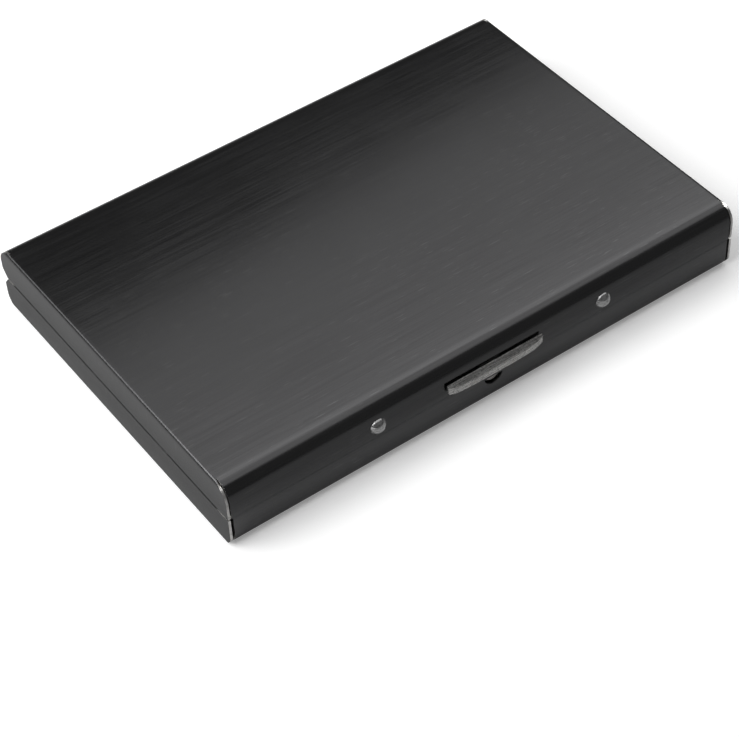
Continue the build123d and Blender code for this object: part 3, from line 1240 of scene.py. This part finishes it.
@dataclass
class Latch:
    """Push bar, inner tongue, leaf spring, rivets and the catch lug."""

    sizes: CaseSizes
    palette: Palette
    bar_stand_off: float = 0.35 * MM
    bar_plan_half: float = 9.15 * MM
    bar_plan_power: float = 3.2
    bar_roll: float = 2.35 * MM
    bar_slope: float = 52.0
    bar_corner: float = 0.8 * MM
    bar_edge_rows: int = 8
    neck_half: float = 1.8 * MM
    neck_z: tuple[float, float] = (7.6 * MM, 8.3 * MM)
    window_radius: float = 1.35 * MM
    window_height: float = 2.0 * MM
    spring_thickness: float = 0.3 * MM
    bulge_from: float = 10 * MM
    bulge_to: float = 18 * MM
    bulge: float = 0.9 * MM
    rivet_dome: float = 0.95 * MM
    lug_radius: float = 1.45 * MM
    lug_top: float = 5.7 * MM

    def build(self) -> None:
        """Build every piece of the latch."""
        self._bar()
        self._tongue()
        for side in (-1, 1):
            self._spring_half(side)
            self._rivet(side)
        self._lug()

    def _bar(self) -> None:
        """Push bar with a rolled top face, a bowed front edge and its neck."""
        low, high = corners_of("latch_bar")
        back = -self.sizes.half_depth - self.bar_stand_off
        rows = 24
        bm = bmesh.new()
        place = (Matrix.Translation((0, 0, 0.5)) @ Matrix.Rotation(math.pi / 2, 4, "X")
                 @ Matrix.Diagonal((high.x, 0.5, 1, 1)))
        bmesh.ops.create_grid(bm, x_segments=72, y_segments=rows, size=1.0, matrix=place)
        for vert in bm.verts:
            vert.co = self._on_bar(vert.co.x, round(vert.co.z * rows), rows, low, high, back)
        rim = [e for e in bm.edges if e.is_boundary]
        made = bmesh.ops.extrude_edge_only(bm, edges=rim)["geom"]
        for vert in (g for g in made if isinstance(g, BMVert)):
            vert.co.y = back
        bmesh.ops.remove_doubles(bm, verts=bm.verts[:], dist=1e-6)
        bmesh.ops.holes_fill(bm, edges=bm.edges[:], sides=0)
        bmesh.ops.recalc_face_normals(bm, faces=bm.faces[:])
        block(bm, (-self.neck_half, back - 0.1 * MM, self.neck_z[0]),
              (self.neck_half, high.y, self.neck_z[1]))
        piece = mesh_object("latch_push_bar", bm, [self.palette.bar_steel])
        sharpen(piece, 20)
        soften(piece, 0.07 * MM, 3, 20)
        ride(piece, Body.LATCH.value, ["latch_bar"])

    def _on_bar(self, x: float, row: int, rows: int, low: Vector, high: Vector, back: float) -> Vector:
        """A point of the bar's front: the lower rows are its edge, the upper rows its rolled top.

        Args:
            x: Place along the bar.
            row: Row number from the bottom.
            rows: Number of rows.
            low: Lowest corner of the bar.
            high: Highest corner of the bar.
            back: Where the bar's back face is.

        Returns:
            The point.
        """
        power = self.bar_plan_power
        depth = (back - low.y) * (1 - (abs(x) / self.bar_plan_half) ** power) ** (1 / power)
        start = math.radians(self.bar_slope)
        level = high.z - self.bar_roll * math.sin(start)
        ridge = math.acos(min(depth / self.bar_roll + math.cos(start), 1.0))
        ridge_z = level + self.bar_roll * math.sin(ridge)
        if row <= self.bar_edge_rows:
            z = low.z + (ridge_z - low.z) * row / self.bar_edge_rows
            below = max(self.bar_corner - (z - low.z), 0.0)
            inset = self.bar_corner - math.sqrt(self.bar_corner ** 2 - below ** 2)
            return Vector((x * (1 - inset / high.x), back - depth, z))
        angle = ridge + (start - ridge) * (row - self.bar_edge_rows) / (rows - self.bar_edge_rows)
        out = self.bar_roll * (math.cos(angle) - math.cos(start))
        return Vector((x, back - out, level + self.bar_roll * math.sin(angle)))

    def _tongue(self) -> None:
        """Round-tipped plate with a three-cornered window."""
        low, high = corners_of("latch_tongue")
        radius = (high.x - low.x) / 2
        upright = Matrix.Rotation(math.pi / 2, 4, "X")
        bm = bmesh.new()
        tip = Matrix.Translation((0, low.y, low.z + radius))
        outline = bmesh.ops.create_circle(bm, segments=56, radius=radius, matrix=tip @ upright)["verts"]
        raised = [v for v in outline if v.co.z > low.z + radius + 1e-6]
        bmesh.ops.translate(bm, verts=raised, vec=(0, 0, high.z - low.z - 2 * radius))
        turn = Matrix.Rotation(math.pi, 4, "Y") @ upright
        middle = Matrix.Translation((0, low.y, low.z + self.window_height))
        window = bmesh.ops.create_circle(bm, segments=3, radius=self.window_radius,
                                         matrix=middle @ turn)["verts"]
        bmesh.ops.bevel(bm, geom=window, offset=0.35 * MM, affect="VERTICES", segments=4,
                        profile=0.5, material=-1)
        bmesh.ops.triangle_fill(bm, use_beauty=True, edges=bm.edges[:])
        bmesh.ops.recalc_face_normals(bm, faces=bm.faces[:])
        if bm.faces[:][0].normal.y > 0:
            bmesh.ops.reverse_faces(bm, faces=bm.faces[:])
        piece = mesh_object("latch_tongue_plate", bm, [self.palette.bar_steel])
        thicken(piece, high.y - low.y)
        soften(piece, 0.04 * MM)
        ride(piece, Body.LATCH.value, ["latch_tongue"])

    def _spring_half(self, side: int) -> None:
        """Half of the leaf spring, which bends between the rivet and the latch.

        Args:
            side: -1 for the left half, 1 for the right.
        """
        low, high = corners_of("latch_spring")
        length = high.x
        bm = bmesh.new()
        place = (Matrix.Translation((side * length / 2, low.y, (low.z + high.z) / 2))
                 @ Matrix.Rotation(math.pi / 2, 4, "X")
                 @ Matrix.Diagonal((length / 2, (high.z - low.z) / 2, 1, 1)))
        bmesh.ops.create_grid(bm, x_segments=48, y_segments=4, size=1.0, matrix=place)
        for vert in bm.verts:
            along = (abs(vert.co.x) - self.bulge_from) / (self.bulge_to - self.bulge_from)
            if 0.0 < along < 1.0:
                vert.co.y += self.bulge * (1 - (2 * along - 1) ** 2) ** 1.5
        bmesh.ops.recalc_face_normals(bm, faces=bm.faces[:])
        if bm.faces[:][0].normal.y > 0:
            bmesh.ops.reverse_faces(bm, faces=bm.faces[:])
        name = "latch_spring_left" if side < 0 else "latch_spring_right"
        piece = mesh_object(name, bm, [self.palette.spring_steel])
        thicken(piece, self.spring_thickness)
        soften(piece, 0.04 * MM)
        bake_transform(piece)
        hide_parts("latch_spring")
        LOG.info("%s bends between lid and latch", name)

    def _rivet(self, side: int) -> None:
        """Rivet turned from its profile: domed head, shank and flat tail.

        Args:
            side: -1 for the left rivet, 1 for the right.
        """
        node = "rivet_left" if side < 0 else "rivet_right"
        low, high = corners_of(node)
        x, z = (low.x + high.x) / 2, (low.z + high.z) / 2
        head = (high.x - low.x) / 2
        wall = -self.sizes.half_depth
        bm = bmesh.new()
        ball = (head ** 2 + self.rivet_dome ** 2) / (2 * self.rivet_dome)
        widest = math.asin(head / ball)
        steps = 12
        outline = [(ball * math.sin(widest * i / steps),
                    wall - self.rivet_dome + ball * (1 - math.cos(widest * i / steps))) for i in range(steps)]
        outline += [(head, wall), (0.6 * MM, wall),
                    (0.6 * MM, high.y - 0.3 * MM), (0.95 * MM, high.y - 0.3 * MM),
                    (0.95 * MM, high.y - 0.06 * MM), (0.85 * MM, high.y), (0.0, high.y)]
        verts = [bm.verts.new((x + r, y, z)) for r, y in outline]
        edges = [bm.edges.new(pair) for pair in zip(verts, verts[1:])]
        bmesh.ops.spin(bm, geom=verts + edges, cent=(x, 0, z), axis=(0, 1, 0), dvec=(0, 0, 0),
                       angle=2 * math.pi, steps=40, use_merge=True, use_normal_flip=False,
                       use_duplicate=False)
        bmesh.ops.remove_doubles(bm, verts=bm.verts[:], dist=1e-7)
        bmesh.ops.recalc_face_normals(bm, faces=bm.faces[:])
        piece = mesh_object(node + "_turned", bm, [self.palette.rivet_steel])
        sharpen(piece, 50)
        ride(piece, Body.LID.value, [node])

    def _lug(self) -> None:
        """Half-round catch lug that hangs inside the plain shell's front wall, over its own hole."""
        wall = -self.sizes.half_depth + self.sizes.sheet
        centre = Matrix.Translation((0, wall - 0.02 * MM, self.lug_top))
        bm = bmesh.new()
        bmesh.ops.create_circle(bm, cap_ends=True, segments=40, radius=self.lug_radius,
                                matrix=centre @ Matrix.Rotation(math.pi / 2, 4, "X"))
        cut(bm, (0, 0, self.lug_top), (0, 0, 1), clear=True)
        bmesh.ops.holes_fill(bm, edges=bm.edges[:], sides=0)
        bmesh.ops.recalc_face_normals(bm, faces=bm.faces[:])
        if bm.faces[:][0].normal.y < 0:
            bmesh.ops.reverse_faces(bm, faces=bm.faces[:])
        piece = mesh_object("catch_lug", bm, [self.palette.bare_steel])
        thicken(piece, 0.32 * MM, offset=1.0)
        soften(piece, 0.09 * MM, 3)
        ride(piece, Body.CASE.value)


# ---------------------------------------------------------------------------
# Liners and bellows
# ---------------------------------------------------------------------------

@dataclass
class Liner:
    """Black sheet glued inside a shell, with a round-ended slot in from each side."""

    palette: Palette
    node: str
    body: Body
    slot_y: float = -16.6 * MM
    slot_width: float = 2.6 * MM
    slot_end: float = 34.2 * MM
    corner_radius: float = 0.8 * MM

    def build(self) -> None:
        """Build the liner."""
        low, high = corners_of(self.node)
        bm = bmesh.new()
        block(bm, low, high)
        round_edges(bm, upright_edges(bm), self.corner_radius, 5)
        piece = mesh_object(self.node + "_sheet", bm, [self.palette.liner])
        for side in (-1, 1):
            self._cut_slot(piece, side, low, high)
        sharpen(piece, 40)
        soften(piece, 0.03 * MM)
        ride(piece, self.body.value, [self.node])

    def _cut_slot(self, piece: bpy.types.Object, side: int, low: Vector, high: Vector) -> None:
        """Cut one slot.

        Args:
            piece: The liner.
            side: -1 for the left slot, 1 for the right.
            low: Lowest corner of the liner.
            high: Highest corner of the liner.
        """
        bm = bmesh.new()
        ends = sorted((side * self.slot_end, side * (high.x + 1 * MM)))
        half = self.slot_width / 2
        block(bm, (ends[0], self.slot_y - half, low.z - 1 * MM),
              (ends[1], self.slot_y + half, high.z + 1 * MM))
        nose = [e for e in bm.edges if near(e.verts[0].co.x, side * self.slot_end)
                and near(e.verts[1].co.x, side * self.slot_end) and near(e.verts[0].co.y, e.verts[1].co.y)]
        round_edges(bm, nose, half * 0.98, 8)
        tool = mesh_object("slot_tool", bm, [])
        carve = piece.modifiers.new("slot", "BOOLEAN")
        carve.operation = "DIFFERENCE"
        carve.object = tool
        carve.solver = "EXACT"
        bpy.context.view_layer.update()
        freeze(piece)
        bpy.data.objects.remove(tool)


@dataclass
class Bellows:
    """Five leaves and the folded cloth that joins them into six pockets."""

    palette: Palette
    leaves: int = 5
    cloth: float = 0.12 * MM
    spine_tip_y: float = 30.2 * MM
    spine_clearance: float = 0.084 * MM
    corner_radius: float = 0.8 * MM
    leaf_middles: list[float] = field(default_factory=list)

    def build(self) -> None:
        """Build the leaves first, then the cloth between them."""
        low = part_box("lower_liner")[1][2]
        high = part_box("upper_liner")[0][2]
        self.leaf_middles = [low]
        for number in range(1, self.leaves + 1):
            self.leaf_middles.append(self._leaf(number))
        self.leaf_middles.append(high)
        for pocket in range(1, self.leaves + 2):
            for side in (-1, 1):
                self._gusset(pocket, side)
            self._spine(pocket)

    def _leaf(self, number: int) -> float:
        """Build one leaf.

        Args:
            number: 1 for the lowest.

        Returns:
            Height of the leaf's middle.
        """
        node = f"divider_{number}"
        low, high = corners_of(node)
        bm = bmesh.new()
        block(bm, low, high)
        round_edges(bm, [e for e in upright_edges(bm) if e.verts[0].co.y < 0], self.corner_radius, 4)
        for face in bm.faces:
            if face.normal.y < -0.3:
                face.material_index = 1
        piece = mesh_object(f"leaf_{number}_sheet", bm, [self.palette.leaf, self.palette.leaf_edge])
        sharpen(piece, 40)
        soften(piece, 0.03 * MM)
        ride(piece, f"leaf_{number}", [node])
        return (low.z + high.z) / 2

    def _limits(self, pocket: int) -> tuple[float, float]:
        """Lowest and highest line of a pocket's cloth."""
        slack = 0.02 * MM
        return self.leaf_middles[pocket - 1] + slack, self.leaf_middles[pocket] - slack

    def _fold(self, points: Sequence[Sequence[float]], run: Sequence[float], cuts: int) -> BMesh:
        """Sweep a folded outline into a sheet.

        Args:
            points: Corners of the fold's outline.
            run: Direction and length of the sweep.
            cuts: Cuts along each panel and along the sweep.

        Returns:
            The sheet.
        """
        bm = bmesh.new()
        verts = [bm.verts.new(p) for p in points]
        outline = [bm.edges.new(pair) for pair in zip(verts, verts[1:])]
        bmesh.ops.subdivide_edges(bm, edges=outline, cuts=cuts)
        pull(bm, bm.edges[:], run)
        long_edges = [e for e in bm.edges if e.calc_length() > Vector(run).length * 0.9]
        bmesh.ops.subdivide_edges(bm, edges=long_edges, cuts=cuts)
        bmesh.ops.recalc_face_normals(bm, faces=bm.faces[:])
        return bm

    def _hold(self, piece: bpy.types.Object) -> None:
        """Bake the cloth's placement into its mesh.

        Args:
            piece: The cloth.
        """
        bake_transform(piece)

    @staticmethod
    def _inverse_ease(share: float) -> float:
        """Where the smooth step 3t² - 2t³ reaches a share between 0 and 1."""
        return 0.5 - math.sin(math.asin(1 - 2 * share) / 3)

    def _gusset(self, pocket: int, side: int) -> None:
        """Side cloth of one pocket, creased at the end of the case.

        Args:
            pocket: 1 for the lowest pocket.
            side: -1 for the left gusset, 1 for the right.
        """
        node = f"gusset_{'left' if side < 0 else 'right'}_{pocket}"
        box_low, box_high = corners_of(node)
        low, high = self._limits(pocket)
        middle = (low + high) / 2
        root = min(abs(box_low.x), abs(box_high.x))
        tip = max(abs(box_low.x), abs(box_high.x))
        y = box_low.y
        points = [(side * root, y, low), (side * tip, y, middle), (side * root, y, high)]
        bm = self._fold(points, (0, box_high.y - box_low.y, 0), 7)
        self._belly(bm, side, root, tip, middle, low, high)
        lay_uv(bm, lambda point, normal: (point.x, point.y))
        piece = mesh_object(node + "_cloth", bm, [self.palette.cloth, self.palette.cloth_edge])
        thicken(piece, self.cloth, rim=1, offset=0.0)
        self._hold(piece)
        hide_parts(node)
        LOG.info("%s folds with the lid", piece.name)

    @staticmethod
    def _belly(bm: BMesh, side: int, root: float, tip: float, middle: float, low: float, high: float) -> None:
        """Round the two panels a little, most midway between the fold's root and tip."""
        for vert in bm.verts:
            share = (abs(vert.co.x) - root) / (tip - root)
            bow = math.sin(math.pi * min(max(share, 0.0), 1.0)) * 0.12
            towards = high if vert.co.z > middle else low
            if abs(vert.co.z - middle) > 1e-7:
                vert.co.z += (towards - vert.co.z) * bow

    def _spine(self, pocket: int) -> None:
        """Back cloth of one pocket, creased towards the hinge.

        Args:
            pocket: 1 for the lowest pocket.
        """
        node = f"spine_fold_{pocket}"
        box_low, box_high = corners_of(node)
        low, high = self._limits(pocket)
        middle = (low + high) / 2
        x = box_low.x
        root = box_low.y + self.spine_clearance
        points = [(x, root, low), (x, self.spine_tip_y, middle), (x, root, high)]
        bm = self._fold(points, (box_high.x - box_low.x, 0, 0), 3)
        lay_uv(bm, lambda point, normal: (point.x, point.y + point.z))
        piece = mesh_object(node + "_cloth", bm, [self.palette.cloth, self.palette.cloth_edge])
        thicken(piece, self.cloth, rim=1, offset=0.0)
        self._hold(piece)
        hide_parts(node)
        LOG.info("%s folds with the lid", piece.name)


# ---------------------------------------------------------------------------
# Studio
# ---------------------------------------------------------------------------

@dataclass
class Softbox:
    """One soft light that looks at a point."""

    name: str
    at: tuple[float, float, float]
    size: tuple[float, float]
    radiance: float
    look_at: tuple[float, float, float] | None = None
    turn: float = 0.0

    def build(self) -> None:
        """Place the light."""
        data = bpy.data.lights.new(self.name, "AREA")
        data.shape = "RECTANGLE"
        data.size, data.size_y = self.size
        data.energy = self.radiance * math.pi * self.size[0] * self.size[1]
        lamp = bpy.data.objects.new(self.name, data)
        lamp.visible_camera = False
        turned = Matrix.Rotation(math.radians(self.turn), 4, "Z")
        if self.look_at is not None:
            back = (Vector(self.at) - Vector(self.look_at)).normalized()
            turned = back.to_track_quat("Z", "Y").to_matrix().to_4x4() @ turned
        lamp.matrix_world = Matrix.Translation(self.at) @ turned
        bpy.context.scene.collection.objects.link(lamp)


@dataclass
class Studio:
    """Pale floor, soft lights, surrounding light and the camera."""

    azimuth: float = -33.53
    elevation: float = 45.85
    roll: float = -3.31
    distance: float = 0.36037
    lens: float = 108.87
    shift_right: float = 0.1 * MM
    shift_up: float = -13.58 * MM
    surround: float = 0.09
    lamps: list[Softbox] = field(default_factory=lambda: [
        Softbox("top_panel", at=(0.0612, 0.0182, 0.1124), size=(0.2592, 0.1725), radiance=0.57, turn=6.0),
        Softbox("top_strip", at=(0.0602, 0.0205, 0.1114), size=(0.2592, 0.052), radiance=0.48, turn=3.0),
        Softbox("fold_box", at=(-0.49, 0.52, 0.55), size=(0.4, 0.4), radiance=1.1, look_at=(0.0, 0.0, 0.0)),
        Softbox("left_box", at=(-0.65, 0.12, 0.62), size=(0.8, 0.8), radiance=4.5, look_at=(0.0, 0.0, 0.0)),
    ])

    def build(self) -> None:
        """Build the stage."""
        self._floor()
        self._surround()
        for lamp in self.lamps:
            lamp.build()
        self._camera()

    def _floor(self) -> None:
        """Large plain floor under the case."""
        bm = bmesh.new()
        bmesh.ops.create_grid(bm, x_segments=1, y_segments=1, size=3.0)
        floor = mesh_object("studio_floor", bm, [PaleFloor("pale_floor").build()])

    def _surround(self) -> None:
        """Even light from all round."""
        world = bpy.data.worlds.new("surround")
        bpy.context.scene.world = world
        world.use_nodes = True
        ground = world.node_tree.nodes["Background"]
        ground.inputs["Color"].default_value = (1.0, 1.0, 1.0, 1.0)
        ground.inputs["Strength"].default_value = self.surround
        bpy.context.scene.view_settings.view_transform = "Standard"

    def _camera(self) -> None:
        """Camera above the left front corner, aimed at the case."""
        turn, rise, roll = (math.radians(a) for a in (self.azimuth, self.elevation, self.roll))
        back = Vector((math.sin(turn) * math.cos(rise), -math.cos(turn) * math.cos(rise), math.sin(rise)))
        right = Vector((0, 0, 1)).cross(back).normalized()
        up = back.cross(right)
        level = Matrix((right, up, back)).transposed()
        aim = level @ Matrix.Rotation(roll, 3, "Z")
        place = back * self.distance + aim.col[0] * self.shift_right + aim.col[1] * self.shift_up
        data = bpy.data.cameras.new("camera")
        data.lens = self.lens
        data.sensor_width = 36.0
        data.clip_start = 0.01
        camera = bpy.data.objects.new("camera", data)
        camera.matrix_world = Matrix.Translation(place) @ aim.to_4x4()
        bpy.context.scene.collection.objects.link(camera)
        bpy.context.scene.camera = camera


def main() -> None:
    """Build every sub-assembly in order."""
    logging.basicConfig(level=logging.INFO, format="%(name)s: %(message)s")
    sizes = CaseSizes.from_frame()
    palette = Palette(EffectLibrary())
    FoldedShell(sizes, palette, "lower_shell", Body.CASE, bend_radius=2.5 * MM, slit=0.45 * MM,
                first_knuckle=0, turned_over=False, lance_radius=1.75 * MM).build()
    FoldedShell(sizes, palette, "upper_shell", Body.LID, bend_radius=3.0 * MM, slit=0.15 * MM,
                first_knuckle=1, turned_over=True, notch_half=2.3 * MM, notch_floor=3.8 * MM).build()
    Hinge(sizes, palette).build()
    Latch(sizes, palette).build()
    Liner(palette, "lower_liner", Body.CASE).build()
    Liner(palette, "upper_liner", Body.LID).build()
    Bellows(palette).build()
    Studio().build()


if __name__ == "__main__":
    main()
